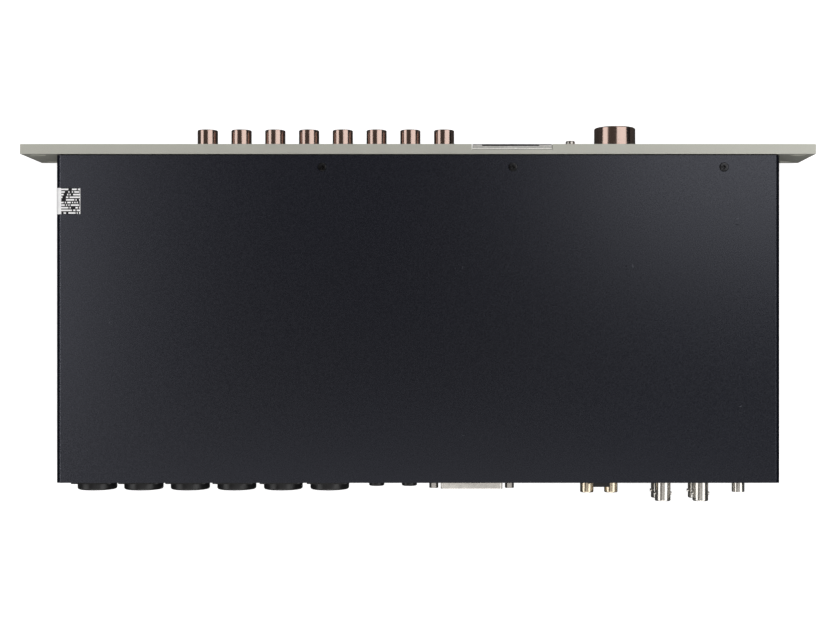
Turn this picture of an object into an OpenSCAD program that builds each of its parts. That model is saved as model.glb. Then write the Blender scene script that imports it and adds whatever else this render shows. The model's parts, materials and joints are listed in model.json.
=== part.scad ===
// Rack-mount audio interface, one rack unit high: eight gain knobs, a display
// window and a main knob on the front, and two rows of sockets on the back.
// Millimetres. The origin is at the bottom centre, under the feet. +Z is up, the
// front panel faces -Y, and +X is to the right of someone who looks at the front.

/* [Front panel] */
// Width of the front panel, over both rack ears
panel_w = 482.6; // [482:0.1:483]
// Height of the front panel, one rack unit
panel_h = 44; // [43.6:0.1:44.4]
// Thickness of the front panel
panel_t = 6; // [5.5:0.5:8]
// Distance across between the rack slots
rack_pitch_x = 465.1; // [464:0.1:466]
// Distance up between the rack slots
rack_pitch_z = 31.75; // [31:0.05:32]
// Width of a rack slot
rack_slot_w = 7; // [6.5:0.1:7.2]
// Length of a rack slot
rack_slot_l = 10.3; // [9:0.1:11]

/* [Enclosure] */
// Width of the enclosure behind the panel
body_w = 439.4; // [434:0.2:442]
// Depth of the enclosure behind the panel
body_d = 199.5; // [195:0.5:215]
// Height of the enclosure
body_h = 43; // [42.5:0.5:43.5]
// Thickness of the steel sheet
sheet_t = 1.2; // [1:0.1:1.5]
// Outer radius of the bends along the cover's top edges
bend_r = 3; // [2:0.1:3.2]
// Height of a rubber foot
foot_h = 4; // [3:0.5:6]
// Diameter of a rubber foot
foot_d = 16; // [12:1:20]

/* [Front controls] */
// Diameter of a gain knob
gain_d = 12.5; // [11:0.1:14]
// How far a gain knob stands out of the panel
gain_out = 11.3; // [9:0.1:12]
// Distance between the gain knobs
gain_pitch = 21; // [20:0.1:21]
// Where the gain knob nearest the middle is
gain_x = -15.6; // [-17:0.1:-14]
// Diameter of the main knob
main_d = 25.5; // [22:0.1:28]
// How far the main knob stands out of the panel
main_out = 12.5; // [12:0.1:14]
// Where the main knob is
main_x = -121.7; // [-123:0.1:-120]
// Diameter of a menu button
button_d = 5.6; // [5:0.1:6]
// How far a menu button stands out of the panel
button_out = 3; // [2:0.1:3.5]
// Where the column of menu buttons is
button_x = -93.1; // [-94:0.1:-92]
// Distance between the menu buttons
button_pitch = 12; // [11:0.1:12.5]
// Width of the display window
window_w = 48.7; // [44:0.1:49]
// Thickness of the display window
window_t = 3.3; // [2.5:0.1:3.5]
// Where the display window is
window_x = -57.1; // [-58:0.1:-56]
// Where the two front microphone sockets are
front_combo_x = [164, 195];
// Where the two headphone sockets are
phones_x = [-160, -182];
// Where the power button is
power_x = -203; // [-204:0.5:-202]

/* [Back sockets] */
// Distance between the microphone sockets
combo_pitch = 28.9; // [28:0.1:29]
// Where the outermost microphone socket is
combo_x = 200; // [198:0.5:201]
// Diameter of a microphone socket's collar
combo_d = 24; // [23:0.1:24]
// How far a microphone socket stands out of the wall
combo_out = 5.8; // [4:0.1:7]
// Where the two line output sockets are
line_x = [26.3, 6];
// Where the 25-way socket is
dsub_x = -32.7; // [-34:0.1:-31]
// Distance between the jackscrews of the 25-way socket
dsub_pitch = 47.04; // [47:0.01:47.1]
// Where the pair of phono sockets is
phono_x = -111.7; // [-113:0.1:-110]
// Distance between the phono sockets
phono_pitch = 14.95; // [14:0.05:16]
// Where the data port is
data_x = -138; // [-139:0.5:-137]
// Where the two columns of coaxial sockets are
coax_x = [-150.3, -173.5];
// Distance up between the coaxial sockets
coax_pitch = 17; // [15:0.5:18]
// How far a coaxial socket stands out of the wall
coax_out = 12.2; // [12:0.1:13]
// Where the power inlet is
inlet_x = -198.5; // [-200:0.5:-197]

/* [Hidden] */
$fn = 64;

// Places of the main faces
depth = main_out + panel_t + body_d + coax_out;
front_y = main_out - depth / 2;         // front face of the panel
wall_y = front_y + panel_t;             // back face of the panel
inner_y = wall_y + sheet_t;             // back face of the inner front wall
rear_y = wall_y + body_d;               // outer face of the rear wall
base_z = foot_h;                        // underside of the enclosure
floor_z = base_z + sheet_t;             // inner floor of the enclosure
top_z = base_z + body_h;                // outer top of the enclosure
mid_z = base_z + body_h / 2;            // middle height of panel and enclosure
panel_z = mid_z - panel_h / 2;          // underside of the panel
body_x = body_w / 2;
base_x = body_x - sheet_t;              // half width of the folded base
wall_x = base_x - sheet_t - 0.6;        // half width of the front and rear walls
fit = 0.05;                             // radial clearance of a running fit
loose = 0.15;                           // radial clearance of a hole around a button

// Inside of the enclosure
board_t = 1.6;
board_z = floor_z + 4;                  // underside of the main board
deck_z = board_z + board_t;             // top of the main board
main_board_x = 203;
main_board_y = [-58, rear_y - sheet_t - 0.5];
gap_y = 8.5;                            // from the inner front wall to the front board
front_board_x = [-140, 142];
phones_board_z = mid_z - 6.5 - board_t;
spacer_places = [for (x = [-190, -60, 60, 190], y = [-50, 78]) [x, y]];
phones_posts = [[-205, wall_y + 22], [-171, wall_y + 22]];
foot_places = [for (x = [-180, 180], y = [-72, 72]) [x, y]];

// Fasteners
m3 = 1.5;                               // radius of an M3 thread
m3_hole = 1.6;
flat_head_r = 2.9;                       // mouth of a countersink
head_sink = 0.25;                        // depth of a flat head below the sheet
pan_head_r = 2.75;
fascia_screws = [for (x = [-146, -5.1, 146.5], z = [-16, 16]) [x, mid_z + z]];
top_screws = [[58.2, wall_y + 7.9], [-57.6, wall_y + 7.9], [-185.6, wall_y + 7.9]];
side_screw_y = [-78, 4, 88];
side_screw_z = base_z + 8;
stud_places = [[185.1, 4.8], [-24.9, -27.5], [-128.3, -28.1], [-194.1, -55.6],
               [-196.1, 58.4], [-27.8, 72.1]];
stud_head_r = 2.3;

// Knob and button parts, measured from the panel's front face
shaft_r = 3;
bushing_r = 3.5;
recess_t = 3.4;                         // depth of a nut recess behind the panel
gain_gap = 0.6;
main_gap = 1.2;
main_push = 0.6;
button_flange = [1, 1];                 // extra radius and thickness
button_stop = 3.6;                      // from the front face to the button's stop
button_back = 11.9;                     // where a menu button's stem ends
power_r = 4;
power_out = 1.8;
light_r = 1;
light_z = mid_z + 12;
button_z = [mid_z + button_pitch, mid_z, mid_z - button_pitch];

// Back sockets
combo_flange = [26, 31, 1.4];
combo_body = 26;                        // depth of a microphone socket behind its flange
combo_screw = [9.5, 12];
jack_r = 3.35;                          // bore for a 6.35 mm jack plug
line_r = 4.75;
line_out = 3.8;
phones_r = 5.4;
dsub_size = [38.3, 8.4];
dsub_out = 5.5;
phono_r = 4.15;
phono_out = 7.7;
phono_z = mid_z + 1.5;
optical_size = 9.9;
optical_wall = 0.8;
optical_out = 2.8;
optical_z = [phono_z + 12, deck_z + optical_size / 2 + 0.15];
door_t = 0.8;
door_y = 1.7;                           // from the wall's outer face to the door's middle
door_pivot = 3.65;                      // from the port's middle up to the door's pin
data_z = deck_z + 1.65;
coax_r = 4.8;
coax_z = [mid_z + coax_pitch / 2, mid_z - coax_pitch / 2];
inlet_r = 3.95;
inlet_out = 7.6;
vent = [3, 20, 7, 10];                  // width, height, pitch and number of the side vents
vent_y = -56;
label_y = [-76, -60.1];
label_x = 14.9;                         // how far the label reaches in over the top
label_side = 16;
label_t = 0.15;

function gain_places() = [for (i = [0 : 7]) gain_x + i * gain_pitch];
function combo_places() = [for (i = [0 : 5]) combo_x - i * combo_pitch];
function arc(centre, r, from, to, n = 6) =
    [for (i = [0 : n]) let (a = from + (to - from) * i / n) centre + r * [cos(a), sin(a)]];

// ---- shapes that repeat ----

// Puts children on a face that looks along dir * Y: their x is to the viewer's
// right, their y is up and their z points at the viewer.
module facing(x, y, z, dir) translate([x, y, z]) rotate([90, 0, dir > 0 ? 180 : 0]) children();
module on_front(x, z) facing(x, front_y, z, -1) children();
module on_back(x, z) facing(x, rear_y, z, 1) children();

module rod(z0, z1, r) translate([0, 0, z0]) cylinder(h = z1 - z0, r = r);
module block(w, h, z0, z1) translate([-w / 2, -h / 2, z0]) cube([w, h, z1 - z0]);
module box(x, y, z) translate([x[0], y[0], z[0]]) cube([x[1] - x[0], y[1] - y[0], z[1] - z[0]]);

module rounded_block(w, h, z0, z1, r) {
    block(w - 2 * r, h, z0, z1);
    block(w, h - 2 * r, z0, z1);
    for (x = [-1, 1], y = [-1, 1]) translate([x * (w / 2 - r), y * (h / 2 - r), 0]) rod(z0, z1, r);
}

module slot_block(l, w, z0, z1) {
    block(l - w, w, z0, z1);
    for (x = [-1, 1]) translate([x * (l - w) / 2, 0, 0]) rod(z0, z1, w / 2);
}

module cross_recess(size) for (a = [0, 90]) rotate([0, 0, a]) block(size, size * 0.26, -size * 0.32, 1);

// A flat-head screw whose head sits just below z = 0, and the hole that takes it.
module flat_screw(length) difference() {
    union() {
        rod(-length, -sheet_t, m3);
        translate([0, 0, -sheet_t]) cylinder(h = sheet_t - head_sink, r1 = m3,
            r2 = flat_head_r - (flat_head_r - m3) * head_sink / sheet_t);
    }
    translate([0, 0, -head_sink]) cross_recess(2.6);
}
module flat_hole() translate([0, 0, -sheet_t]) cylinder(h = sheet_t, r1 = m3, r2 = flat_head_r);

// A pan-head screw whose head sits on z = 0.
module pan_screw(length) difference() {
    union() {
        rod(-length, 0, m3);
        rod(0, 1.6, pan_head_r);
    }
    translate([0, 0, 1.6]) cross_recess(3);
}

module hex_nut(across, z0, z1, bore) difference() {
    translate([0, 0, z0]) cylinder(h = z1 - z0, r = across / sqrt(3), $fn = 6);
    rod(z0 - 1, z1 + 1, bore);
}

// A 6.35 mm jack socket: a round nose that ends at tip, and a body from -back.
module jack_socket(tip, r, back) difference() {
    union() {
        rotate_extrude() polygon(concat(
            [[0, -back], [r, -back]], arc([r - 0.9, tip - 0.9], 0.9, 0, 90), [[0, tip]]));
        block(14, 13, -back - 27, -back);
    }
    rod(-back - 25, tip + 1, jack_r);
}

module combo_outline(z0, z1) rounded_block(combo_flange[0], combo_flange[1], z0, z1, 3);

// The outer piece of a microphone socket: flange, collar and barrel.
module combo_shell() difference() {
    union() {
        combo_outline(0, combo_flange[2]);
        rotate_extrude() polygon(concat(
            [[0, -combo_body], [combo_d / 2 - 0.2, -combo_body], [combo_d / 2 - 0.2, 0], [combo_d / 2, 0]],
            arc([combo_d / 2 - 1.2, combo_out - 1.2], 1.2, 0, 90),
            [[0, combo_out]]));
    }
    rod(-combo_body + 1, combo_out + 1, 9.6);
    for (s = [-1, 1]) translate([s * combo_screw[0], -s * combo_screw[1], combo_flange[2]]) {
        translate([0, 0, -1.2]) cylinder(h = 1.2, r1 = m3, r2 = flat_head_r);
        rod(-2, 0, m3);
    }
}

// The inner piece, with the jack bore and three contact holes around it.
module combo_core() difference() {
    rod(-combo_body + 1, combo_out - 1.6, 7.8);
    rod(-combo_body + 1.5, combo_out, jack_r);
    for (a = [30, 150, 270]) rotate([0, 0, a]) translate([5.6, 0, 0]) rod(-8, combo_out, 1.3);
    block(2.4, 17, combo_out - 3.2, combo_out);
}

module dsub_outline(inset) offset(r = 1.6 - inset) polygon([
    [-dsub_size[0] / 2 + 1.6, dsub_size[1] / 2 - 1.6], [dsub_size[0] / 2 - 1.6, dsub_size[1] / 2 - 1.6],
    [dsub_size[0] / 2 - 3.0, -dsub_size[1] / 2 + 1.6], [-dsub_size[0] / 2 + 3.0, -dsub_size[1] / 2 + 1.6]]);

// ---- enclosure ----

module front_panel() color([0.68, 0.68, 0.64]) difference() {
    box([-panel_w / 2, panel_w / 2], [front_y, wall_y], [panel_z, panel_z + panel_h]);
    for (x = [-1, 1], z = [-1, 1])
        on_front(x * rack_pitch_x / 2, mid_z + z * rack_pitch_z / 2)
            slot_block(rack_slot_l, rack_slot_w, -panel_t - 1, 1);
    for (x = concat(gain_places(), [main_x])) on_front(x, mid_z) {
        rod(-panel_t - 1, 1, shaft_r + 0.3);
        rod(-panel_t - 1, -panel_t + recess_t, x == main_x ? 8 : 6.6);
    }
    for (z = button_z) on_front(button_x, z) {
        rod(-panel_t - 1, 1, button_d / 2 + loose);
        rod(-panel_t - 1, -button_stop, button_d / 2 + button_flange[0] + 0.4);
    }
    on_front(power_x, mid_z) {
        rod(-panel_t - 1, 1, power_r + loose);
        rod(-panel_t - 1, -button_stop, power_r + button_flange[0] + 0.4);
    }
    for (x = phones_x) on_front(x, mid_z) rod(-panel_t - 1, 1, phones_r + 0.1);
    for (x = front_combo_x) on_front(x, mid_z) rod(-panel_t - 1, 1, combo_d / 2 + 0.1);
    for (x = gain_places()) on_front(x, light_z) rod(-panel_t - 1, 1, light_r + fit);
    on_front(window_x, mid_z) {
        block(window_w + 0.2, panel_h + 2, -window_t, 1);
        block(38, 30, -panel_t - 1, 0);
    }
    for (p = fascia_screws) on_front(p[0], p[1]) rod(-panel_t - 1, -panel_t + 4.2, m3);
}

module front_wall() color([0.55, 0.56, 0.58]) difference() {
    union() {
        box([-wall_x, wall_x], [wall_y, inner_y], [floor_z, top_z - sheet_t]);
        box([-wall_x, wall_x], [wall_y, wall_y + 16], [top_z - 2 * sheet_t, top_z - sheet_t]);
        box([-wall_x, wall_x], [wall_y, wall_y + 14], [floor_z, floor_z + sheet_t]);
    }
    for (x = concat(gain_places(), [main_x])) on_front(x, mid_z) rod(-9, -5, bushing_r + fit);
    for (z = button_z) on_front(button_x, z) rod(-9, -5, 2);
    on_front(power_x, mid_z) rod(-9, -5, 2.4);
    for (x = phones_x) on_front(x, mid_z) rod(-9, -5, phones_r + 0.1);
    for (x = front_combo_x) on_front(x, mid_z) rod(-9, -5, combo_d / 2 + 0.1);
    for (x = gain_places()) on_front(x, light_z) rod(-9, -5, light_r + 0.2);
    on_front(window_x, mid_z) block(38, 30, -9, -5);
    for (p = fascia_screws) on_front(p[0], p[1]) rod(-9, -5, m3_hole);
    for (x = front_combo_x, s = [-1, 1])
        on_front(x + s * combo_screw[0], mid_z - s * combo_screw[1]) rod(-9, -5, m3);
    for (p = top_screws) translate([p[0], p[1], top_z]) rod(-4, 0, m3);
}

module chassis_base() color([0.5, 0.51, 0.53]) difference() {
    union() {
        box([-base_x, base_x], [wall_y, rear_y], [base_z, floor_z]);
        for (s = [-1, 1]) translate([s * (base_x - sheet_t / 2), 0, 0])
            box([-sheet_t / 2, sheet_t / 2], [wall_y, rear_y], [base_z, base_z + 16]);
    }
    for (p = foot_places) translate([p[0], p[1], 0]) rod(0, 10, m3);
    for (s = [-1, 1], y = side_screw_y)
        translate([s * body_x, y, side_screw_z]) rotate([0, s * 90, 0]) rod(-4, 0, m3);
}

module rear_wall() color([0.13, 0.13, 0.14]) difference() {
    union() {
        box([-wall_x, wall_x], [rear_y - sheet_t, rear_y], [floor_z, top_z - sheet_t]);
        box([-wall_x, wall_x], [rear_y - 14, rear_y], [top_z - 2 * sheet_t, top_z - sheet_t]);
        box([-wall_x, wall_x], [rear_y - 12, rear_y], [floor_z, floor_z + sheet_t]);
    }
    for (x = combo_places()) on_back(x, mid_z) {
        rod(-3, 1, combo_d / 2);
        for (s = [-1, 1]) translate([s * combo_screw[0], -s * combo_screw[1], 0]) rod(-3, 1, m3);
    }
    for (x = line_x) on_back(x, mid_z) rod(-3, 1, line_r + fit);
    on_back(dsub_x, mid_z) {
        translate([0, 0, -3]) linear_extrude(4) dsub_outline(-0.1);
        for (s = [-1, 1]) translate([s * dsub_pitch / 2, 0, 0]) rod(-3, 1, 1.45);
    }
    for (s = [-1, 1]) on_back(phono_x + s * phono_pitch / 2, phono_z) rod(-3, 1, phono_r + fit);
    for (z = optical_z) on_back(phono_x, z) block(optical_size + 0.2, optical_size + 0.2, -3, 1);
    on_back(data_x, data_z) rounded_block(9.2, 3.5, -3, 1, 1.7);
    for (x = coax_x, z = coax_z) on_back(x, z) rod(-3, 1, coax_r + fit);
    on_back(inlet_x, mid_z) rod(-3, 1, inlet_r + fit);
}

module side_vents(s) for (i = [0 : vent[3] - 1])
    translate([s * body_x, vent_y + i * vent[2], mid_z + 5]) rotate([0, 90, 0])
        slot_block(vent[1], vent[0], -3, 3);

// The cover's outline shrunk by inset, from y0 to y1 and from z0 up.
module cover_shape(inset, r, y0, y1, z0) {
    x = body_x - inset;
    top = top_z - inset;
    box([-x + r, x - r], [y0, y1], [z0, top]);
    box([-x, x], [y0, y1], [z0, top - r]);
    for (s = [-1, 1])
        translate([s * (x - r), y0, top - r]) rotate([-90, 0, 0]) cylinder(h = y1 - y0, r = r);
}

module top_cover() color([0.11, 0.11, 0.13]) difference() {
    cover_shape(0, bend_r, wall_y + 0.7, rear_y, base_z);
    cover_shape(sheet_t, bend_r - sheet_t, wall_y, rear_y + 1, base_z - 1);
    for (p = top_screws) translate([p[0], p[1], top_z]) flat_hole();
    for (p = stud_places) translate([p[0], p[1], top_z]) rod(-3, 1, stud_head_r);
    for (s = [-1, 1]) {
        side_vents(s);
        for (y = side_screw_y)
            translate([s * body_x, y, side_screw_z]) rotate([0, s * 90, 0]) flat_hole();
    }
}

module cover_studs() color([0.11, 0.11, 0.13]) for (p = stud_places) translate([p[0], p[1], top_z]) {
    rod(-sheet_t, 0, stud_head_r);
    rod(-6, -sheet_t, m3);
}

module cover_screws() color([0.1, 0.1, 0.11]) {
    for (p = top_screws) translate([p[0], p[1], top_z]) flat_screw(6);
    for (s = [-1, 1], y = side_screw_y)
        translate([s * body_x, y, side_screw_z]) rotate([0, s * 90, 0]) flat_screw(6);
}

module inner_screws() color([0.7, 0.7, 0.72]) {
    for (p = fascia_screws) facing(p[0], inner_y, p[1], 1) pan_screw(5);
    for (p = spacer_places) translate([p[0], p[1], deck_z]) pan_screw(5);
    for (p = phones_posts) translate([p[0], p[1], phones_board_z + board_t]) pan_screw(5);
}

module feet() color([0.08, 0.08, 0.08]) for (p = foot_places) translate([p[0], p[1], 0]) difference() {
    rotate_extrude() polygon(concat(
        [[0, foot_h], [0, 0]], arc([foot_d / 2 - 1.6, 0.8], 0.8, -90, 0), [[foot_d / 2, foot_h]]));
    rod(-1, 2, pan_head_r + 0.4);
    rod(-1, foot_h + 1, m3);
}

module foot_screws() color([0.7, 0.7, 0.72]) for (p = foot_places)
    translate([p[0], p[1], 2]) rotate([180, 0, 0]) pan_screw(5.5);

module serial_label() color([0.95, 0.95, 0.95]) difference() {
    cover_shape(-label_t, bend_r + label_t, label_y[0], label_y[1], top_z - label_side);
    cover_shape(0, bend_r, label_y[0] - 1, label_y[1] + 1, base_z);
    box([-body_x - 2, body_x - label_x], [label_y[0] - 1, label_y[1] + 1], [0, top_z + 2]);
}

// ---- front controls ----

// A turned knob from z0 to z1, hollow underneath, with a dished face.
module knob(r, z0, z1, chamfer) difference() {
    rotate_extrude() polygon([
        [0, z1 - chamfer], [r - 3 * chamfer, z1 - chamfer], [r - 2 * chamfer, z1], [r - chamfer, z1],
        [r, z1 - chamfer], [r, z0], [r - 1.2, z0], [r - 1.2, z0 + 2.2], [shaft_r + 1.4, z0 + 2.2],
        [shaft_r + 1.4, z0], [0, z0]]);
    rod(z0 - 1, z1 - 2.2, shaft_r + fit);
    translate([-0.45, r * 0.3, z1 - 2 * chamfer]) cube([0.9, r * 0.45, 3]);
}

// Number 1 is the knob farthest to the right.
module gain_knob(number) on_front(gain_places()[8 - number], mid_z) {
    color([0.5, 0.36, 0.33]) knob(gain_d / 2, gain_gap, gain_out, 0.3);
    color([0.7, 0.7, 0.72]) rod(-panel_t - sheet_t - 5.3, gain_out - 2.4, shaft_r);
}

module gain_pots() color([0.3, 0.32, 0.36]) for (x = gain_places())
    facing(x, inner_y, mid_z, -1) difference() {
        union() {
            block(11, 11, -gap_y, 0);
            rod(0, sheet_t + 2.6, bushing_r);
        }
        rod(-5.5, 9, shaft_r + fit);
    }

module pot_nuts() color([0.75, 0.75, 0.76]) for (x = concat(gain_places(), [main_x]))
    facing(x, wall_y, mid_z, -1) hex_nut(9, 0, 2, bushing_r);

module main_knob() color([0.5, 0.36, 0.33]) on_front(main_x, mid_z)
    knob(main_d / 2, main_gap, main_out, 0.5);

module main_shaft() color([0.7, 0.7, 0.72]) on_front(main_x, mid_z)
    rod(-panel_t - sheet_t - 5.8, main_out - 2.4, shaft_r);

module main_plunger() color([0.85, 0.83, 0.78]) on_front(main_x, mid_z)
    rod(-panel_t - sheet_t - 7.2, -panel_t - sheet_t - 5.8, 2);

module main_encoder() color([0.3, 0.32, 0.36]) facing(main_x, inner_y, mid_z, -1) difference() {
    union() {
        block(13, 13, -gap_y, 0);
        rod(0, sheet_t + 2.6, bushing_r);
    }
    rod(-5.8 - main_push - 0.1, 9, shaft_r + fit);
    rod(-7.2 - main_push - 0.2, 0, 2.2);
}

module push_button(r, out, stem_r, back) {
    rod(-button_stop, out - 0.4, r);
    translate([0, 0, out - 0.4]) cylinder(h = 0.4, r1 = r, r2 = r - 0.4);
    rod(-button_stop - button_flange[1], -button_stop, r + button_flange[0]);
    rod(-back, -button_stop - button_flange[1], stem_r);
}
module menu_button(z) color([0.62, 0.6, 0.58]) on_front(button_x, z)
    push_button(button_d / 2, button_out, 1.6, button_back);
module power_button() color([0.62, 0.6, 0.58]) on_front(power_x, mid_z)
    push_button(power_r, power_out, 2, button_back + 0.6);

module panel_switches() color([0.15, 0.15, 0.16]) {
    for (z = button_z) on_front(button_x, z) difference() {
        block(6, 6, -panel_t - sheet_t - gap_y, -11.2);
        rod(-13.2, 0, 1.75);
    }
    on_front(power_x, mid_z) difference() {
        translate([0, -0.5, 0]) block(8, 12, -24, -11);
        rod(-14.5, 0, 2.2);
    }
}

module display_window() color([0.75, 0.77, 0.77, 0.6]) on_front(window_x, mid_z)
    block(window_w, panel_h, -window_t, 0);

module display_module() color([0.05, 0.05, 0.06]) on_front(window_x, mid_z)
    block(36, 28, -panel_t - sheet_t - 2, -window_t);

module channel_lights() color([0.85, 0.9, 0.85]) for (x = gain_places()) on_front(x, light_z)
    rod(-panel_t - sheet_t - gap_y, 0, light_r);

// ---- boards and what is on them ----

module front_board() color([0.05, 0.3, 0.16])
    box(front_board_x, [inner_y + gap_y, inner_y + gap_y + board_t], [floor_z + 2, top_z - 4]);

module phones_board() color([0.05, 0.3, 0.16]) difference() {
    box([-211, -151], [inner_y + 1, inner_y + 31], [phones_board_z, phones_board_z + board_t]);
    for (p = phones_posts) translate([p[0], p[1], phones_board_z]) rod(-1, 3, m3);
}

module main_board() color([0.05, 0.3, 0.16]) difference() {
    box([-main_board_x, main_board_x], main_board_y, [board_z, deck_z]);
    for (p = spacer_places) translate([p[0], p[1], board_z]) rod(-1, 3, m3);
}

module board_spacers() color([0.75, 0.72, 0.6]) {
    for (p = spacer_places) translate([p[0], p[1], 0]) difference() {
        rod(floor_z, board_z, 3);
        rod(floor_z - 1, board_z + 1, m3);
    }
    for (p = phones_posts) translate([p[0], p[1], 0]) difference() {
        rod(floor_z, phones_board_z, 3);
        rod(phones_board_z - 6, phones_board_z + 1, m3);
    }
}

// A flat cable that arches from a header on the front board to one on the main board.
ribbon_y = [inner_y + gap_y + board_t + 3, main_board_y[0] + 8];
function ribbon_line(rise, n = 16) = [for (i = [0 : n])
    [ribbon_y[0] + (ribbon_y[1] - ribbon_y[0]) * i / n, deck_z + 3 + rise + 7 * pow(sin(180 * i / n), 2)]];
function reversed(list) = [for (i = [len(list) - 1 : -1 : 0]) list[i]];
module ribbon_cable() color([0.6, 0.6, 0.62]) {
    translate([18, 0, 0]) rotate([90, 0, -90])
        linear_extrude(36) mirror([1, 0]) polygon(concat(ribbon_line(0.9), reversed(ribbon_line(0))));
    box([-20, 20], [ribbon_y[0] - 3, ribbon_y[0]], [deck_z + 1, deck_z + 6]);
    box([-20, 20], [ribbon_y[1] - 4, ribbon_y[1] + 4], [deck_z, deck_z + 3]);
}

module power_module() color([0.25, 0.25, 0.27]) box([-196, -150], [22, 66], [deck_z, deck_z + 13]);

module heat_sink() color([0.75, 0.76, 0.78]) {
    box([-60, -12], [-12, 36], [deck_z, deck_z + 3]);
    for (i = [0 : 7]) box([-60 + i * 6.6, -58.2 + i * 6.6], [-12, 36], [deck_z, deck_z + 13]);
}

module capacitors() color([0.16, 0.17, 0.24]) for (i = [0 : 7], j = [0, 1])
    translate([192 - i * 21, 34 + j * 16, 0]) rod(deck_z, deck_z + 12, 4);

// ---- sockets ----

module jack_sockets() color([0.07, 0.07, 0.07]) {
    for (x = line_x) on_back(x, mid_z) jack_socket(line_out, line_r, sheet_t);
    for (x = phones_x) on_front(x, mid_z) jack_socket(-0.3, phones_r, panel_t + sheet_t);
}

module at_combos() {
    for (x = combo_places()) on_back(x, mid_z) children();
    for (x = front_combo_x) facing(x, inner_y + combo_flange[2], mid_z, -1) children();
}
module combo_shells() color([0.07, 0.07, 0.07]) at_combos() combo_shell();
module combo_cores() color([0.1, 0.1, 0.1]) at_combos() combo_core();
module combo_screws() color([0.1, 0.1, 0.1]) {
    for (x = combo_places()) on_back(x, mid_z) for (s = [-1, 1])
        translate([s * combo_screw[0], -s * combo_screw[1], combo_flange[2]]) flat_screw(7);
    for (x = front_combo_x, s = [-1, 1])
        facing(x + s * combo_screw[0], inner_y + combo_flange[2], mid_z - s * combo_screw[1], 1)
            pan_screw(combo_flange[2] + sheet_t);
}

module dsub_shell() color([0.8, 0.79, 0.76]) on_back(dsub_x, mid_z) difference() {
    union() {
        block(53, 12.5, -sheet_t - 1, -sheet_t);
        translate([0, 0, -sheet_t]) linear_extrude(sheet_t + dsub_out) dsub_outline(0);
    }
    translate([0, 0, -4]) linear_extrude(12) dsub_outline(0.5);
    for (s = [-1, 1]) translate([s * dsub_pitch / 2, 0, 0]) rod(-4, 1, 1.45);
}

module dsub_insert() color([0.08, 0.08, 0.08]) on_back(dsub_x, mid_z) difference() {
    translate([0, 0, -9]) linear_extrude(8 + dsub_out) dsub_outline(0.55);
    for (i = [0 : 12]) translate([(i - 6) * 2.77, 1.42, 0]) rod(-1, 6, 0.6);
    for (i = [0 : 11]) translate([(i - 5.5) * 2.77, -1.42, 0]) rod(-1, 6, 0.6);
}

module dsub_jackscrews() color([0.78, 0.77, 0.74]) on_back(dsub_x, mid_z)
    for (s = [-1, 1]) translate([s * dsub_pitch / 2, 0, 0]) difference() {
        union() {
            translate([0, 0, 0]) cylinder(h = 5.2, r = 4.9 / sqrt(3), $fn = 6);
            rod(-6, 0, 1.4);
        }
        rod(0.8, 6, 1.2);
    }

module at_phonos() for (s = [-1, 1]) on_back(phono_x + s * phono_pitch / 2, phono_z) children();
module phono_shells() color([0.8, 0.7, 0.5]) at_phonos() difference() {
    union() {
        rod(-sheet_t, phono_out - 0.4, phono_r);
        translate([0, 0, phono_out - 0.4]) cylinder(h = 0.4, r1 = phono_r, r2 = phono_r - 0.3);
    }
    rod(-sheet_t - 1, phono_out + 1, 3.4);
}
module phono_inserts() color([0.08, 0.08, 0.08]) at_phonos() difference() {
    rod(-sheet_t, phono_out - 0.7, 3.4);
    rod(0, phono_out, 1.6);
}
module optical_ports() color([0.06, 0.06, 0.06]) for (z = optical_z) on_back(phono_x, z) difference() {
    block(optical_size, optical_size, -14, optical_out);
    block(optical_size - 2 * optical_wall, optical_size - 2 * optical_wall, -11, optical_out + 1);
    translate([0, door_pivot, door_y]) rotate([0, 90, 0]) rod(-6, 6, 0.5);
}

module optical_door(z) color([0.12, 0.12, 0.12]) on_back(phono_x, z) translate([0, 0, door_y]) {
    low = optical_wall + 0.15 - optical_size / 2;
    translate([0, (door_pivot + low) / 2, 0])
        block(optical_size - 2 * optical_wall - 0.2, door_pivot - low, -door_t / 2, door_t / 2);
    translate([0, door_pivot, 0]) rotate([0, 90, 0]) {
        rod(-optical_size / 2 + optical_wall + 0.1, optical_size / 2 - optical_wall - 0.1, door_t / 2);
        rod(-optical_size / 2 + 0.1, optical_size / 2 - 0.1, 0.35);
    }
}

module data_port() color([0.75, 0.75, 0.76]) on_back(data_x, data_z) difference() {
    rounded_block(8.94, 3.26, -7, 1.5, 1.55);
    rounded_block(8.34, 2.66, -6.5, 3, 1.3);
}

module at_coax() for (x = coax_x, z = coax_z) on_back(x, z) children();
module coax_shells() color([0.78, 0.77, 0.74]) at_coax() difference() {
    union() {
        rod(-sheet_t, coax_out - 0.4, coax_r);
        translate([0, 0, coax_out - 0.4]) cylinder(h = 0.4, r1 = coax_r, r2 = coax_r - 0.3);
        translate([0, 0, 7.6]) rotate([0, 90, 0]) rod(-5.5, 5.5, 0.95);
    }
    rod(2.2, coax_out + 1, 4.05);
    rod(-3, 3, 2.4);
}
module coax_inserts() color([0.93, 0.92, 0.88]) at_coax() difference() {
    rod(-sheet_t, 9.4, 2.4);
    rod(3, 12, 0.7);
}
module socket_housings() color([0.08, 0.08, 0.08]) {
    on_back(phono_x, phono_z) block(29, 12, -13, -sheet_t);
    for (x = coax_x) box([x - 7.5, x + 7.5], [rear_y - 14, rear_y - sheet_t], [deck_z, coax_z[0] + 7]);
}

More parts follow.
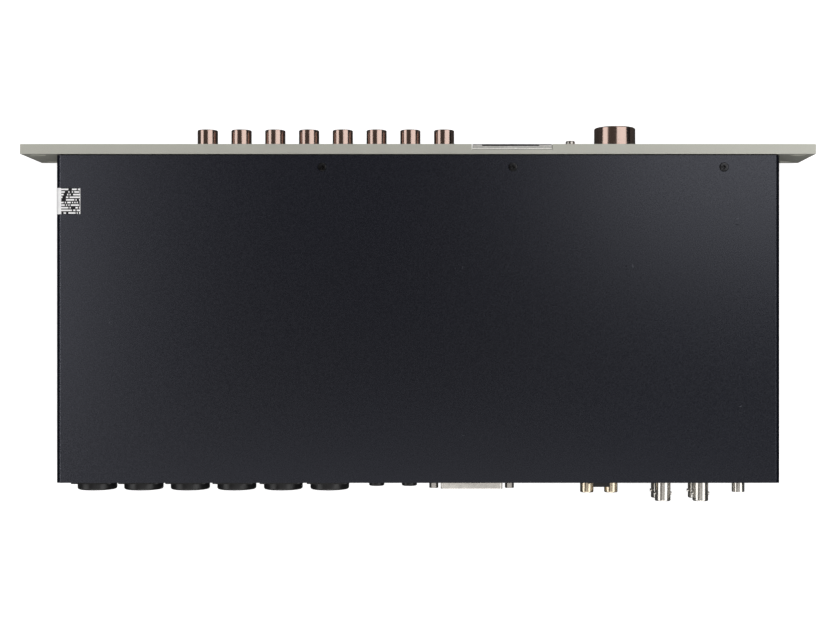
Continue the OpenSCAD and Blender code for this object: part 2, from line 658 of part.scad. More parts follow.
module inlet_barrel() color([0.75, 0.74, 0.72]) on_back(inlet_x, mid_z) {
    difference() {
        rod(-sheet_t, inlet_out, inlet_r);
        rod(-sheet_t - 1, inlet_out + 1, 3);
    }
    rod(1, 6.4, 1);
}
module inlet_nut() color([0.75, 0.74, 0.72]) on_back(inlet_x, mid_z) hex_nut(8.5, 0, 0.9, inlet_r);
module inlet_core() color([0.08, 0.08, 0.08]) on_back(inlet_x, mid_z) {
    block(11, 11, -13, -sheet_t);
    rod(-sheet_t, 1, 3);
    difference() {
        rod(1, inlet_out - 0.4, 3);
        rod(0, inlet_out, 2.7);
    }
}

// ---- nodes ----

front_panel();
front_wall();
chassis_base();
rear_wall();
top_cover();
cover_studs();
cover_screws();
inner_screws();
feet();
foot_screws();
serial_label();
gain_knob(1);  // gain_knob_1
gain_knob(2);  // gain_knob_2
gain_knob(3);  // gain_knob_3
gain_knob(4);  // gain_knob_4
gain_knob(5);  // gain_knob_5
gain_knob(6);  // gain_knob_6
gain_knob(7);  // gain_knob_7
gain_knob(8);  // gain_knob_8
gain_pots();
pot_nuts();
main_knob();
main_shaft();
main_plunger();
main_encoder();
menu_button(button_z[0]);  // menu_button_top
menu_button(button_z[1]);  // menu_button_middle
menu_button(button_z[2]);  // menu_button_bottom
power_button();
panel_switches();
display_window();
display_module();
channel_lights();
phones_board();
front_board();
main_board();
board_spacers();
ribbon_cable();
power_module();
heat_sink();
capacitors();
jack_sockets();
combo_shells();
combo_cores();
combo_screws();
dsub_shell();
dsub_insert();
dsub_jackscrews();
phono_shells();
phono_inserts();
optical_ports();
optical_door(optical_z[0]);  // optical_door_top
optical_door(optical_z[1]);  // optical_door_bottom
data_port();
coax_shells();
coax_inserts();
socket_housings();
inlet_barrel();
inlet_nut();
inlet_core();
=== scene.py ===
"""Looks for the rack-mount audio interface: materials, fine detail, camera and studio."""
import json
import math

import bmesh
import bpy
from mathutils import Matrix, Vector


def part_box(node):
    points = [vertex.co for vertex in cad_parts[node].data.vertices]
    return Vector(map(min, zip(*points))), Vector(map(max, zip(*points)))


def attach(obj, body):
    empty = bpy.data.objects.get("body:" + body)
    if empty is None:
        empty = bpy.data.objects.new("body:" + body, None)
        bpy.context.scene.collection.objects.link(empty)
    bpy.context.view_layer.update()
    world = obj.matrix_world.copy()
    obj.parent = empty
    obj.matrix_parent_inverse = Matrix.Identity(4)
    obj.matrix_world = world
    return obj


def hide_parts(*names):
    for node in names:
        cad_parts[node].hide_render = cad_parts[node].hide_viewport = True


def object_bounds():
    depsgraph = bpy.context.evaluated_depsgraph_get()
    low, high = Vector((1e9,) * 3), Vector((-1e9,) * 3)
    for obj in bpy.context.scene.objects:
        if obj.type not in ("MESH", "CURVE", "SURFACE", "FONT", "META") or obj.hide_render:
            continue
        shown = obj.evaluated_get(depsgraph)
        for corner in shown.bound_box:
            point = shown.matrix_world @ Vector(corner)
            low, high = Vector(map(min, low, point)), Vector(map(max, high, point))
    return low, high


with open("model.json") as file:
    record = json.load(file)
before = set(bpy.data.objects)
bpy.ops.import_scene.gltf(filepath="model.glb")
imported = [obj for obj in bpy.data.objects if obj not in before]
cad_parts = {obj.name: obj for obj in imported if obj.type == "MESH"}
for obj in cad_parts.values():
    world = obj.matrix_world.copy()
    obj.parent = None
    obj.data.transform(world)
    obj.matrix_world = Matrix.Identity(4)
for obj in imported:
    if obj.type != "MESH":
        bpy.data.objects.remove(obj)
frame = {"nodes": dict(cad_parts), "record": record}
cad_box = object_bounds()
nodes = frame["nodes"]
slots = {r["node"]: r["material_slot"] for r in frame["record"]["subparts"]}
MM = 0.001

# ---- places that come from the CAD boxes ----

panel_lo, panel_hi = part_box("front_panel")
FRONT, TOP = panel_lo.y, panel_hi.z
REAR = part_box("rear_wall")[1].y
MID = (panel_lo.z + panel_hi.z) / 2

# ---- material helpers ----


class Maker:
    """Builds one Principled material, one texture at a time."""

    def __init__(self, name, color, rough, metal=0.0, **sockets):
        self.material = bpy.data.materials.new(name)
        self.material.use_nodes = True
        self.material.diffuse_color = (*color, 1)
        self.tree = self.material.node_tree
        self.shader = self.tree.nodes["Principled BSDF"]
        self.shader.inputs["Base Color"].default_value = (*color, 1)
        self.shader.inputs["Roughness"].default_value = rough
        self.shader.inputs["Metallic"].default_value = metal
        for key, value in sockets.items():
            self.shader.inputs[key.replace("_", " ")].default_value = value
        self.color = color
        self.normal = None
        self.where = self.node("ShaderNodeTexCoord").outputs["Object"]

    def node(self, kind, **props):
        n = self.tree.nodes.new(kind)
        for k, v in props.items():
            setattr(n, k, v)
        return n

    def join(self, a, b):
        self.tree.links.new(a, b)

    def math(self, op, a, b=None, c=None):
        n = self.node("ShaderNodeMath", operation=op)
        for i, v in enumerate((a, b, c)):
            if v is None:
                continue
            if isinstance(v, (int, float)):
                n.inputs[i].default_value = v
            else:
                self.join(v, n.inputs[i])
        return n.outputs[0]

    def stretched(self, scale):
        n = self.node("ShaderNodeMapping")
        n.inputs["Scale"].default_value = scale
        self.join(self.where, n.inputs["Vector"])
        return n.outputs["Vector"]

    def noise(self, scale, detail=3.0, rough=0.55, where=None):
        n = self.node("ShaderNodeTexNoise")
        n.inputs["Scale"].default_value = scale
        n.inputs["Detail"].default_value = detail
        n.inputs["Roughness"].default_value = rough
        self.join(where or self.where, n.inputs["Vector"])
        return n.outputs["Fac"]

    def spread(self, source, lo, hi, a=0.35, b=0.65):
        n = self.node("ShaderNodeMapRange")
        n.inputs["From Min"].default_value = a
        n.inputs["From Max"].default_value = b
        n.inputs["To Min"].default_value = lo
        n.inputs["To Max"].default_value = hi
        self.join(source, n.inputs["Value"])
        return n.outputs["Result"]

    def tint(self, source, other, a=0.35, b=0.65):
        """Mixes the base colour towards another as source goes from a to b."""
        n = self.node("ShaderNodeMix", data_type="RGBA")
        now = self.shader.inputs["Base Color"]
        if now.is_linked:
            self.join(now.links[0].from_socket, n.inputs["A"])
        else:
            n.inputs["A"].default_value = (*self.color, 1)
        n.inputs["B"].default_value = (*other, 1)
        self.join(self.spread(source, 0, 1, a, b), n.inputs["Factor"])
        self.join(n.outputs["Result"], now)
        return self

    def roughen(self, source, lo, hi, a=0.35, b=0.65):
        self.join(self.spread(source, lo, hi, a, b), self.shader.inputs["Roughness"])
        return self

    def bump(self, source, strength, distance):
        n = self.node("ShaderNodeBump")
        n.inputs["Strength"].default_value = strength
        n.inputs["Distance"].default_value = distance
        self.join(source, n.inputs["Height"])
        if self.normal is not None:
            self.join(self.normal, n.inputs["Normal"])
        self.normal = n.outputs["Normal"]
        self.join(self.normal, self.shader.inputs["Normal"])
        return self


def turned_height(mat, rings):
    """Fine rings for a part turned about Y: they follow the distance from its axis and its length."""
    where = mat.node("ShaderNodeTexCoord").outputs["Generated"]
    parts = mat.node("ShaderNodeSeparateXYZ")
    mat.join(where, parts.inputs[0])
    dx = mat.math("SUBTRACT", parts.outputs["X"], 0.5)
    dz = mat.math("SUBTRACT", parts.outputs["Z"], 0.5)
    r = mat.math("SQRT", mat.math("ADD", mat.math("MULTIPLY", dx, dx), mat.math("MULTIPLY", dz, dz)))
    along = mat.math("MULTIPLY", parts.outputs["Y"], rings * 1.7)
    w = mat.math("ADD", mat.math("MULTIPLY", r, rings), along)
    n = mat.node("ShaderNodeTexNoise", noise_dimensions="1D")
    n.inputs["Scale"].default_value = 1.0
    n.inputs["Detail"].default_value = 3.0
    mat.join(w, n.inputs["W"])
    return n.outputs["Fac"]


def fascia():
    """Bead-blasted and anodised aluminium."""
    mat = Maker("fascia_finish", (0.50, 0.50, 0.445), 0.40, 0.45)
    mat.tint(mat.noise(9, 2), (0.53, 0.53, 0.47), 0.3, 0.7)
    mat.tint(mat.noise(4200, 2), (0.46, 0.46, 0.41), 0.52, 0.75)
    mat.roughen(mat.noise(60, 4), 0.36, 0.44)
    mat.bump(mat.noise(3800, 2), 0.06, 0.02 * MM)
    return mat.bump(mat.noise(900, 3), 0.04, 0.05 * MM).material


def powder_coat():
    """Satin black powder coat with a fine texture and a few paler specks."""
    mat = Maker("powder_coat", (0.0042, 0.0050, 0.0092), 0.26, IOR=1.6)
    mat.shader.inputs["Specular Tint"].default_value = (0.86, 0.88, 1.0, 1.0)
    mat.tint(mat.noise(1900, 2), (0.009, 0.010, 0.016), 0.60, 0.78)
    mat.tint(mat.noise(6, 3), (0.004, 0.0052, 0.011), 0.35, 0.7)
    mat.roughen(mat.noise(900, 2), 0.24, 0.29)
    mat.bump(mat.noise(1500, 2), 0.07, 0.03 * MM)
    return mat.bump(mat.noise(420, 2), 0.015, 0.05 * MM).material


def bronze():
    """Rose-bronze anodising over fine turned rings."""
    mat = Maker("bronze_anodised", (0.50, 0.375, 0.325), 0.17, 1.0)
    lines = turned_height(mat, rings=95)
    mat.tint(lines, (0.43, 0.31, 0.26), 0.45, 0.8)
    mat.roughen(lines, 0.13, 0.22)
    mat.bump(lines, 0.06, 0.01 * MM)
    return mat.material


def metal(name, color, rough, grain=2600, swing=0.09):
    """Bare or plated metal with slight changes of tone, gloss and surface."""
    mat = Maker(name, color, rough, 1.0)
    mat.tint(mat.noise(240, 4), tuple(c * 0.92 for c in color), 0.4, 0.7)
    mat.roughen(mat.noise(260, 2), rough - swing, rough + swing)
    return mat.bump(mat.noise(grain, 2), 0.012, 0.006 * MM).material


def black_oxide():
    """Blackened steel, with painted shade that darkens it down in a recess."""
    mat = Maker("black_oxide", (0.045, 0.045, 0.047), 0.3, 1.0)
    mat.tint(mat.noise(240, 4), (0.035, 0.035, 0.037), 0.4, 0.7)
    # painted shade: ambient occlusion darkens the colour down in a recess, such as the cross in a screw
    # head
    shade = mat.node("ShaderNodeAmbientOcclusion", samples=8)
    shade.inputs["Distance"].default_value = 1.2 * MM
    mat.tint(shade.outputs["AO"], (0.002, 0.002, 0.002), 0.62, 0.35)
    mat.roughen(mat.noise(260, 2), 0.22, 0.38)
    return mat.bump(mat.noise(2600, 2), 0.012, 0.006 * MM).material


def zinc():
    """Galvanised sheet with its spangle and rolling lines."""
    mat = Maker("zinc_steel", (0.50, 0.51, 0.52), 0.38, 1.0)
    v = mat.node("ShaderNodeTexVoronoi")
    v.inputs["Scale"].default_value = 110
    mat.join(mat.where, v.inputs["Vector"])
    mat.tint(v.outputs["Color"], (0.40, 0.41, 0.43), 0.2, 0.8)
    mat.roughen(mat.noise(140, 4), 0.30, 0.48)
    return mat.bump(mat.noise(60, 5, where=mat.stretched((1, 40, 1))), 0.05, 0.05 * MM).material


def plastic(name, color, rough, grain=2400, strength=0.12, swing=0.06):
    """Moulded plastic, paint or rubber, with a grain as fine as grain is high."""
    mat = Maker(name, color, rough)
    mat.tint(mat.noise(grain * 0.6, 2), tuple(c * 1.35 + 0.001 for c in color), 0.5, 0.75)
    mat.roughen(mat.noise(320, 3), rough - swing, rough + swing)
    return mat.bump(mat.noise(grain, 2), strength, 0.03 * MM).material


def circuit():
    """Solder mask over copper tracks, which are the edges of random cells, with bare pads."""
    mat = Maker("circuit_board", (0.012, 0.10, 0.05), 0.3, Coat_Weight=0.4)
    v = mat.node("ShaderNodeTexVoronoi", feature="DISTANCE_TO_EDGE")
    v.inputs["Scale"].default_value = 190
    v.inputs["Randomness"].default_value = 0.75
    mat.join(mat.where, v.inputs["Vector"])
    tracks = mat.math("LESS_THAN", v.outputs["Distance"], 0.055)
    mat.tint(tracks, (0.03, 0.20, 0.09), 0, 1)
    dots = mat.node("ShaderNodeTexVoronoi")
    dots.inputs["Scale"].default_value = 330
    mat.join(mat.where, dots.inputs["Vector"])
    mat.tint(mat.math("LESS_THAN", dots.outputs["Distance"], 0.13), (0.62, 0.58, 0.45), 0, 1)
    return mat.bump(tracks, 0.3, 0.05 * MM).material


def label():
    """White film. The part that lies on the top carries rows of random dashes on black."""
    lo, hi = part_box("serial_label")
    dash_length, rows, plain_strip = 0.72 * MM, 10.0, 3.5 * MM
    mat = Maker("label_film", (0.97, 0.97, 0.97), 0.35)
    p = mat.node("ShaderNodeSeparateXYZ")
    mat.join(mat.where, p.inputs[0])
    x = mat.math("MULTIPLY", mat.math("SUBTRACT", p.outputs["X"], lo.x), 1 / dash_length)
    y = mat.math("MULTIPLY", mat.math("SUBTRACT", p.outputs["Y"], lo.y), rows / (hi.y - lo.y))
    cell = mat.node("ShaderNodeCombineXYZ")
    mat.join(mat.math("FLOOR", x), cell.inputs["X"])
    mat.join(mat.math("FLOOR", y), cell.inputs["Y"])
    r = mat.node("ShaderNodeTexWhiteNoise", noise_dimensions="2D")
    mat.join(cell.outputs[0], r.inputs["Vector"])
    dash = mat.math("GREATER_THAN", r.outputs["Value"], 0.36)
    row = mat.math("FRACT", y)
    tall = mat.math("MULTIPLY", mat.math("GREATER_THAN", row, 0.26), mat.math("LESS_THAN", row, 0.86))
    seam = mat.math("LESS_THAN", x, 0.45)
    printed = mat.math("MAXIMUM", mat.math("MULTIPLY", dash, tall), seam)
    on_top = mat.math("MULTIPLY", mat.math("LESS_THAN", p.outputs["X"], hi.x - plain_strip),
                    mat.math("GREATER_THAN", p.outputs["Z"], hi.z - 0.3 * MM))
    black = mat.math("MULTIPLY", on_top, mat.math("SUBTRACT", 1.0, printed))
    mat.tint(mat.noise(500, 2), (0.92, 0.92, 0.93), 0.3, 0.8)
    mat.tint(black, (0.012, 0.012, 0.014), 0, 1)
    return mat.bump(mat.noise(1800, 2), 0.05, 0.02 * MM).material


def clear_acrylic():
    """Clear sheet with the faint marks of handling."""
    mat = Maker("clear_acrylic", (0.95, 0.97, 0.97), 0.03, Transmission_Weight=1.0, IOR=1.49)
    mat.roughen(mat.noise(500, 3), 0.01, 0.06)
    return mat.bump(mat.noise(200, 3), 0.02, 0.01 * MM).material


FINISH = {
    "fascia_aluminium": fascia(),
    "zinc_steel": zinc(),
    "black_coat": powder_coat(),
    "black_screw": black_oxide(),
    # a near-black coat for the front wall, flatter and darker than the cover: partly its coat and partly
    # painted shade for the gap between the panel and the cover
    "gap_shade_black": plastic("gap_shade_black", (0.002, 0.002, 0.0025), 0.85, 900, 0.1),
    "steel_screw": metal("zinc_plated_screw", (0.60, 0.60, 0.61), 0.3),
    "foot_rubber": plastic("foot_rubber", (0.016, 0.016, 0.016), 0.8, 1400, 0.4),
    "label_film": label(),
    "bronze_knob": bronze(),
    "nickel_plate": metal("nickel_plate", (0.80, 0.77, 0.72), 0.2, swing=0.04),
    "gold_plate": metal("gold_plate", (0.80, 0.69, 0.52), 0.2, swing=0.04),
    "button_metal": metal("button_metal", (0.50, 0.47, 0.44), 0.28),
    "white_plastic": plastic("white_plastic", (0.80, 0.79, 0.74), 0.4),
    "clear_acrylic": clear_acrylic(),
    "window_frost": plastic("window_frost", (0.43, 0.42, 0.40), 0.3, 1200, 0.05),
    "display_black": plastic("display_black", (0.008, 0.008, 0.011), 0.12, 900, 0.03, 0.05),
    "light_guide": plastic("light_guide", (0.62, 0.66, 0.60), 0.25, 1200, 0.05),
    "circuit_board": circuit(),
    "spacer_brass": metal("spacer_brass", (0.72, 0.57, 0.31), 0.28),
    "ribbon_grey": plastic("ribbon_grey", (0.40, 0.40, 0.42), 0.5),
    "pot_case": plastic("pot_case", (0.02, 0.035, 0.075), 0.45),
    "module_case": plastic("module_case", (0.02, 0.02, 0.023), 0.4),
    "heat_sink_aluminium": metal("heat_sink", (0.62, 0.63, 0.65), 0.35),
    "capacitor_sleeve": plastic("capacitor_sleeve", (0.012, 0.016, 0.035), 0.25, 1200, 0.05),
    "black_plastic": plastic("black_plastic", (0.0105, 0.0105, 0.0115), 0.34),
}

# ---- CAD nodes: material, small rounded edges, even shading ----

BEVEL = {  # millimetres
    "front_panel": 0.45, "top_cover": 0.26, "rear_wall": 0.1, "front_wall": 0.1, "chassis_base": 0.1,
    "main_knob": 0.14, "feet": 0.3, "combo_shells": 0.15, "power_module": 0.6, "dsub_shell": 0.32,
    "display_module": 0.2, "jack_sockets": 0.12, "optical_ports": 0.12, "serial_label": 0,
    "ribbon_cable": 0.1, "inlet_nut": 0.1, "pot_nuts": 0.15, "dsub_jackscrews": 0.12,
}
USUAL_BEVEL = 0.08
LARGE_FLATS = ("top_cover", "front_panel")  # their long thin triangles would show under the bevel
BEVEL_ANGLE, FLAT_ANGLE, SMOOTH_ANGLE = (math.radians(a) for a in (32, 0.3, 30))


def soften(obj, width, flat):
    """Rounds an object's edges by width millimetres, first merging its flat faces if flat."""
    weld = obj.modifiers.new("weld", "WELD")
    weld.merge_threshold = 1e-6
    if flat:
        merge = obj.modifiers.new("flat_faces", "DECIMATE")
        merge.decimate_type = "DISSOLVE"
        merge.angle_limit = FLAT_ANGLE
    if width:
        bevel = obj.modifiers.new("edges", "BEVEL")
        bevel.width = width * MM
        bevel.segments = 2
        bevel.limit_method = "ANGLE"
        bevel.angle_limit = BEVEL_ANGLE
        bevel.use_clamp_overlap = True
        bevel.harden_normals = False
    shading = obj.modifiers.new("normals", "WEIGHTED_NORMAL")
    shading.keep_sharp = False
    shading.weight = 60


for name, obj in nodes.items():
    obj.data.materials.clear()
    # the front wall takes the near-black that is partly its coat and partly painted shade in the gap
    # behind the panel
    obj.data.materials.append(FINISH["gap_shade_black" if name == "front_wall" else slots[name]])
    soften(obj, BEVEL.get(name, USUAL_BEVEL), name in LARGE_FLATS)

# ---- pieces that the CAD leaves out, in millimetres ----


def publish(bm, name, material, body="unit", slot=None, replaces=()):
    """Turns a bmesh into a piece that rides on a body."""
    bmesh.ops.remove_doubles(bm, verts=bm.verts, dist=1e-8)
    bmesh.ops.recalc_face_normals(bm, faces=bm.faces)
    mesh = bpy.data.meshes.new(name)
    bm.to_mesh(mesh)
    bm.free()
    mesh.materials.append(FINISH[material])
    obj = bpy.data.objects.new(name, mesh)
    bpy.context.scene.collection.objects.link(obj)
    for poly in mesh.polygons:
        poly.use_smooth = True
    mesh.set_sharp_from_angle(angle=SMOOTH_ANGLE)
    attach(obj, body)
    if replaces:
        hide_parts(*replaces)


def slab(bm, lo, hi, r=0.0):
    """A box between two corners, with edges rounded by r."""
    made = bmesh.ops.create_cube(bm, size=1)["verts"]
    for v in made:
        v.co = Vector([(lo[i] + hi[i]) / 2 + v.co[i] * (hi[i] - lo[i]) for i in range(3)]) * MM
    if r:
        edges = list({e for v in made for e in v.link_edges})
        bmesh.ops.bevel(bm, geom=edges, offset=r * MM, segments=2, affect="EDGES", profile=0.5)


def slabs(name, material, corners, r=0.05, **kept):
    """One piece made of several slabs."""
    bm = bmesh.new()
    for lo, hi in corners:
        slab(bm, lo, hi, r)
    publish(bm, name, material, **kept)


def lathe(bm, x, z, profile, segments):
    """Turns (radius, y) points about the line through x, z along Y."""
    rings = []
    for r, y in profile:
        turns = [2 * math.pi * i / segments for i in range(segments)]
        ring = [Vector((x + r * math.cos(a), y, z + r * math.sin(a))) for a in turns]
        rings.append([bm.verts.new(point * MM) for point in ring])
    for a, b in zip(rings, rings[1:]):
        for i in range(segments):
            j = (i + 1) % segments
            bm.faces.new([a[i], a[j], b[j], b[i]])


def contact(bm, x, z, outer, mouth, bore, start, end, segments):
    """A sleeve's face and bore: it narrows from mouth at start to bore at end."""
    lathe(bm, x, z, [(outer, start), (mouth, start), (bore, end), (outer, end)], segments)


def box_mm(name):
    """A node's lowest and highest corners."""
    return [tuple(c / MM for c in corner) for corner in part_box(name)]


front, rear, mid = FRONT / MM, REAR / MM, MID / MM
GAIN_KNOBS = [f"gain_knob_{i}" for i in range(1, 9)]


def display_window():
    """A clear skin, a dark band behind it, a pale body, a white line and a dark slab at the back that is
    painted shadow in the gap there.
    """
    lo, hi = box_mm("display_window")
    x0, x1, z0, z1 = lo[0] + 0.3, hi[0] - 0.3, lo[2] + 0.05, hi[2] - 0.05
    centre, half_band = (x0 + x1) / 2 + 0.9, 17.3
    band0, band1 = centre - half_band, centre + half_band
    skin_back, band_back, body_back = front + 0.40, front + 1.15, front + 2.55
    slabs("window_skin", "clear_acrylic", [((x0, front + 0.02, z0), (x1, skin_back, z1))], 0.12,
          replaces=("display_window",))
    slabs("window_dark_band", "display_black", [((band0, skin_back + 0.01, z0), (band1, band_back, z1))])
    slabs("window_body", "window_frost", [
        ((x0, skin_back + 0.01, z0), (band0 - 0.02, body_back, z1)),
        ((band1 + 0.02, skin_back + 0.01, z0), (x1, body_back, z1)),
        ((band0, band_back + 0.01, z0), (band1, body_back, z1)),
    ], slot="light_guide")
    # a white line along the back of the pale body
    slabs("window_white_line", "white_plastic", [((x0, body_back + 0.01, z0), (x1, hi[1] - 0.24, z1))])
    # painted shadow: a dark slab at the back of the window stands for the shade in the gap behind it
    slabs("window_gap_shadow", "display_black", [((x0, hi[1] - 0.23, z0), (x1, hi[1] - 0.02, z1 - 0.2))])


def knob_pointer(body, edge):
    """A pointer let into a knob's face, inside its rounded edge."""
    lo, hi = box_mm(body)
    x, r = (lo[0] + hi[0]) / 2, (hi[2] - lo[2]) / 2
    inner, outer = mid + r * 0.3 + 0.05, mid + r * 0.75 - 0.05
    slabs(body + "_pointer", "white_plastic",
          [((x - 0.42, lo[1] + edge - 0.03, inner), (x + 0.42, lo[1] + 2 * edge, outer))], 0.08, body=body)


def gain_scale_marks():
    """Eleven printed marks around each gain knob, with longer ones at the ends and the middle."""
    bm = bmesh.new()
    for knob in GAIN_KNOBS:
        lo, hi = box_mm(knob)
        x = (lo[0] + hi[0]) / 2
        for mark in range(11):
            turn = Matrix.Rotation(math.radians(-150 + 30 * mark), 4, "Y")
            length = 1.5 if mark in (0, 5, 10) else 1.0
            for v in bmesh.ops.create_cube(bm, size=1)["verts"]:
                c = Vector((v.co.x * 0.32, v.co.y * 0.03, v.co.z * length + 7.5 + length / 2))
                v.co = (turn @ c + Vector((x, front, mid))) * MM
    publish(bm, "gain_scale_marks", "display_black", slot="black_coat")


def combo_contacts():
    """Three sleeves in each microphone socket. Facing is 1 at the rear and -1 at the front."""
    rear_x, front_x = [200 - 28.9 * i for i in range(6)], (164, 195)
    panel, sheet, flange, core = 6, 1.2, 1.4, 4.2
    rear_face, front_face = rear + core, front + panel + sheet + flange - core
    bm = bmesh.new()
    for x, face, facing in [(x, rear_face, 1) for x in rear_x] + [(x, front_face, -1) for x in front_x]:
        for a in (30, 150, 270):
            cx = x - facing * 5.6 * math.cos(math.radians(a))
            cz = mid + 5.6 * math.sin(math.radians(a))
            contact(bm, cx, cz, 1.28, 0.95, 0.85, face - facing * 1.2, face - facing * 6, 20)
    publish(bm, "combo_contacts", "gold_plate")


def dsub_contacts():
    """Two rows of sleeves in the 25-way socket."""
    lo, hi = box_mm("dsub_insert")
    x, z, pitch = (lo[0] + hi[0]) / 2, (lo[2] + hi[2]) / 2, 2.77
    bm = bmesh.new()
    for count, up in ((13, 1.42), (12, -1.42)):
        for i in range(count):
            cx = x + (i - (count - 1) / 2) * pitch
            contact(bm, cx, z + up, 0.58, 0.40, 0.36, hi[1] - 0.35, hi[1] - 3, 12)
    publish(bm, "dsub_contacts", "gold_plate")


def centre_contacts():
    """The middle contacts of the coaxial and the phono sockets."""
    bm = bmesh.new()
    lo, hi = box_mm("coax_inserts")
    pin = [(0.68, hi[1] - 0.5), (0.68, hi[1] + 0.6), (0.42, hi[1] + 0.6), (0.38, hi[1] - 3)]
    for x in (lo[0] + 2.4, hi[0] - 2.4):
        for z in (lo[2] + 2.4, hi[2] - 2.4):
            lathe(bm, x, z, pin, 16)
    lo, hi = box_mm("phono_inserts")
    for x in (lo[0] + 3.4, hi[0] - 3.4):
        contact(bm, x, (lo[2] + hi[2]) / 2, 1.58, 1.3, 1.25, hi[1] - 0.5, hi[1] - 6, 20)
    publish(bm, "centre_contacts", "gold_plate")


def data_port():
    """The tongue in the data port and the contacts on both its sides."""
    lo, hi = box_mm("data_port")
    x, z, pitch, half_tongue = (lo[0] + hi[0]) / 2, (lo[2] + hi[2]) / 2, 0.5, 0.35
    slabs("data_port_tongue", "black_plastic",
          [((x - 3.3, rear - 6.4, z - half_tongue), (x + 3.3, rear + 0.6, z + half_tongue))], 0.12)
    corners = []
    for i in range(12):
        for side in (-1, 1):
            cx, cz = x + (i - 5.5) * pitch, z + side * (half_tongue + 0.01)
            corners.append(((cx - 0.13, rear - 3, cz - 0.03), (cx + 0.13, rear + 0.2, cz + 0.03)))
    slabs("data_port_contacts", "gold_plate", corners, 0)


display_window()
for knob in GAIN_KNOBS:
    knob_pointer(knob, 0.3)
knob_pointer("main_knob", 0.5)
gain_scale_marks()
combo_contacts()
dsub_contacts()
centre_contacts()
data_port()

# ---- camera: straight above, a little behind the panel ----

scene = bpy.context.scene
cam = bpy.data.cameras.new("camera")
cam.sensor_width = 36
cam.lens = 58.9
cam.shift_x, cam.shift_y = -0.047847, 0.02811
cam.clip_start, cam.clip_end = 0.01, 50
camera = bpy.data.objects.new("camera", cam)
camera.location = (-24.25 * MM, FRONT + 117.0 * MM, TOP + 829 * MM)
camera.rotation_euler = (0, 0, math.pi)
scene.collection.objects.link(camera)
scene.camera = camera

# ---- studio: seen directly it is white, and in reflections it is dark apart from the lights ----

scene.view_settings.view_transform = "Standard"
scene.view_settings.look = "None"


def seen_or_reflected(tree, reflected, seen, output):
    """Joins one shader for what the camera sees and another for everything else."""
    path = tree.nodes.new("ShaderNodeLightPath")
    mix = tree.nodes.new("ShaderNodeMixShader")
    tree.links.new(path.outputs["Is Camera Ray"], mix.inputs[0])
    tree.links.new(reflected.outputs[0], mix.inputs[1])
    tree.links.new(seen.outputs[0], mix.inputs[2])
    tree.links.new(mix.outputs[0], output.inputs[0])


def shader(tree, kind, color, strength=None):
    node = tree.nodes.new(kind)
    node.inputs["Color"].default_value = (*color, 1)
    if strength is not None:
        node.inputs["Strength"].default_value = strength
    return node


def floor_material():
    """A pale floor that glows a little for the camera, and a dark one in reflections."""
    m = bpy.data.materials.new("studio_floor")
    m.use_nodes = True
    tree = m.node_tree
    tree.nodes.clear()
    dull = shader(tree, "ShaderNodeBsdfDiffuse", (0.10, 0.10, 0.10))
    pale = shader(tree, "ShaderNodeBsdfDiffuse", (0.75, 0.75, 0.75))
    glow = shader(tree, "ShaderNodeEmission", (1, 1, 1), 0.72)
    add = tree.nodes.new("ShaderNodeAddShader")
    tree.links.new(pale.outputs[0], add.inputs[0])
    tree.links.new(glow.outputs[0], add.inputs[1])
    seen_or_reflected(tree, dull, add, tree.nodes.new("ShaderNodeOutputMaterial"))
    return m


def studio_world():
    world = bpy.data.worlds.new("studio")
    world.use_nodes = True
    tree = world.node_tree
    tree.nodes.clear()
    dim = shader(tree, "ShaderNodeBackground", (0.93, 0.95, 1.0), 0.016)
    white = shader(tree, "ShaderNodeBackground", (1, 1, 1), 1.0)
    seen_or_reflected(tree, dim, white, tree.nodes.new("ShaderNodeOutputWorld"))
    return world


floor_mesh = bpy.data.meshes.new("floor")
bm = bmesh.new()
bmesh.ops.create_grid(bm, x_segments=1, y_segments=1, size=6)
bm.to_mesh(floor_mesh)
bm.free()
floor = bpy.data.objects.new("floor", floor_mesh)
floor.location = (0, 0, cad_box[0][2] - 0.2 * MM)
floor_mesh.materials.append(floor_material())
scene.collection.objects.link(floor)
scene.world = studio_world()


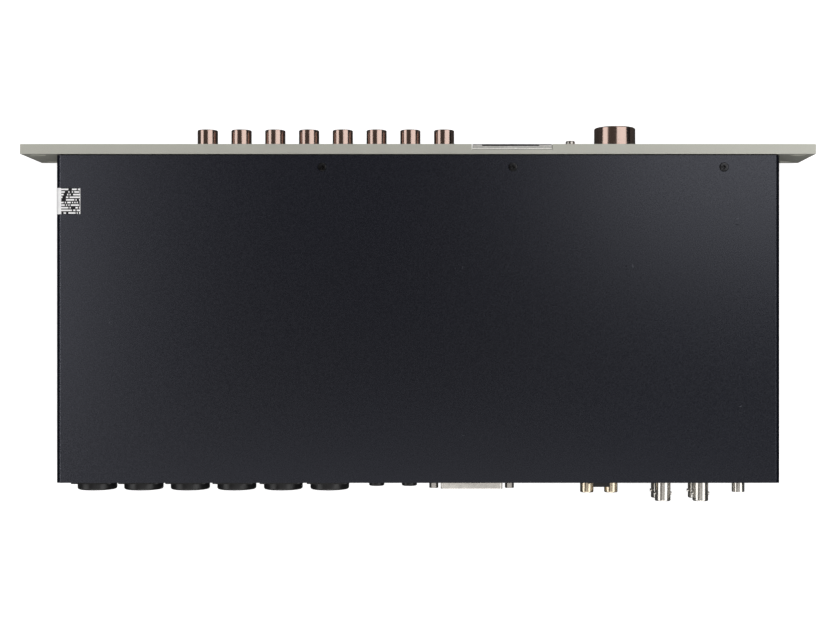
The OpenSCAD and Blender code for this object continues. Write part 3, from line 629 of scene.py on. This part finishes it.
def softbox(name, place, facing, width, height, radiance, color=(1, 1, 1)):
    """An area light that looks along facing, with the brightness of its surface given."""
    light = bpy.data.lights.new(name, "AREA")
    light.shape = "RECTANGLE"
    light.size, light.size_y = width, height
    light.energy = radiance * width * height * math.pi
    light.color = color
    obj = bpy.data.objects.new(name, light)
    z = -Vector(facing).normalized()
    y = Vector((0, 1, 0)) if abs(z.y) < 0.9 else Vector((0, 0, 1))
    x = y.cross(z).normalized()
    y = z.cross(x)
    obj.matrix_world = Matrix.Translation(place) @ Matrix((x, y, z)).transposed().to_4x4()
    obj.visible_camera = False
    scene.collection.objects.link(obj)
    return obj


def side_box(name, near, far, back, front, radiance, color=(1, 1, 1)):
    """A softbox beside the object. It fills the angles from near to far, from the vertical in degrees
    and positive towards the picture's right, and runs from back to front along Y, in metres."""
    r, a = 2.4, math.radians((near + far) / 2)
    place = (-r * math.sin(a), (back + front) / 2, r * math.cos(a))
    wide = 2 * r * math.tan(math.radians(abs(far - near) / 2))
    return softbox(name, place, (-place[0], 0, -place[2]), wide, abs(front - back), radiance, color)


def linked(light, names, state):
    """Includes or excludes CAD nodes from a light."""
    group = bpy.data.collections.new(light.name + "_" + state.lower())
    for name in names:
        group.objects.link(nodes[name])
    for item in group.collection_objects:
        item.light_linking.link_state = state
    light.light_linking.receiver_collection = group


# the coated top takes its own narrower boxes, so its bent sides reflect the dark beyond them
COATED_TOP = ("top_cover", "cover_studs")
for box in (side_box("softbox_front_right", 8.5, 62, -0.2, -3.6, 1.6),
            side_box("softbox_right", 26, 62, 1.6, -0.2, 1.6),
            side_box("softbox_left", -43, -74, 2.2, -2.8, 1.6)):
    linked(box, COATED_TOP, "EXCLUDE")
linked(side_box("cover_front_right", 8.5, 29, -0.2, -3.6, 2.0), COATED_TOP, "INCLUDE")
linked(side_box("cover_right_line", 29, 36, 2.2, -2.8, 2.4), COATED_TOP, "INCLUDE")
linked(side_box("cover_left_line", -30, -35, 2.2, -2.8, 6.0), COATED_TOP, "INCLUDE")
linked(side_box("left_glow", -19, -36, 0.2, -2.6, 0.95), (*COATED_TOP, "front_panel"), "INCLUDE")
side_box("ceiling", 8, -42, 2.2, -2.6, 0.075, color=(1.0, 0.84, 0.72))
softbox("softbox_back", (0, 1.35, 2.0), (0, -1.35, -2.0), 1.8, 2.3, 0.85)
for box in (softbox("fill_front", (0, -2.2, 0.7), (0, 2.2, -0.6), 2.4, 1.0, 2.2),
            softbox("fill_back", (0, 2.2, 0.6), (0, -2.2, -0.5), 2.4, 0.9, 3.0)):
    linked(box, COATED_TOP, "EXCLUDE")
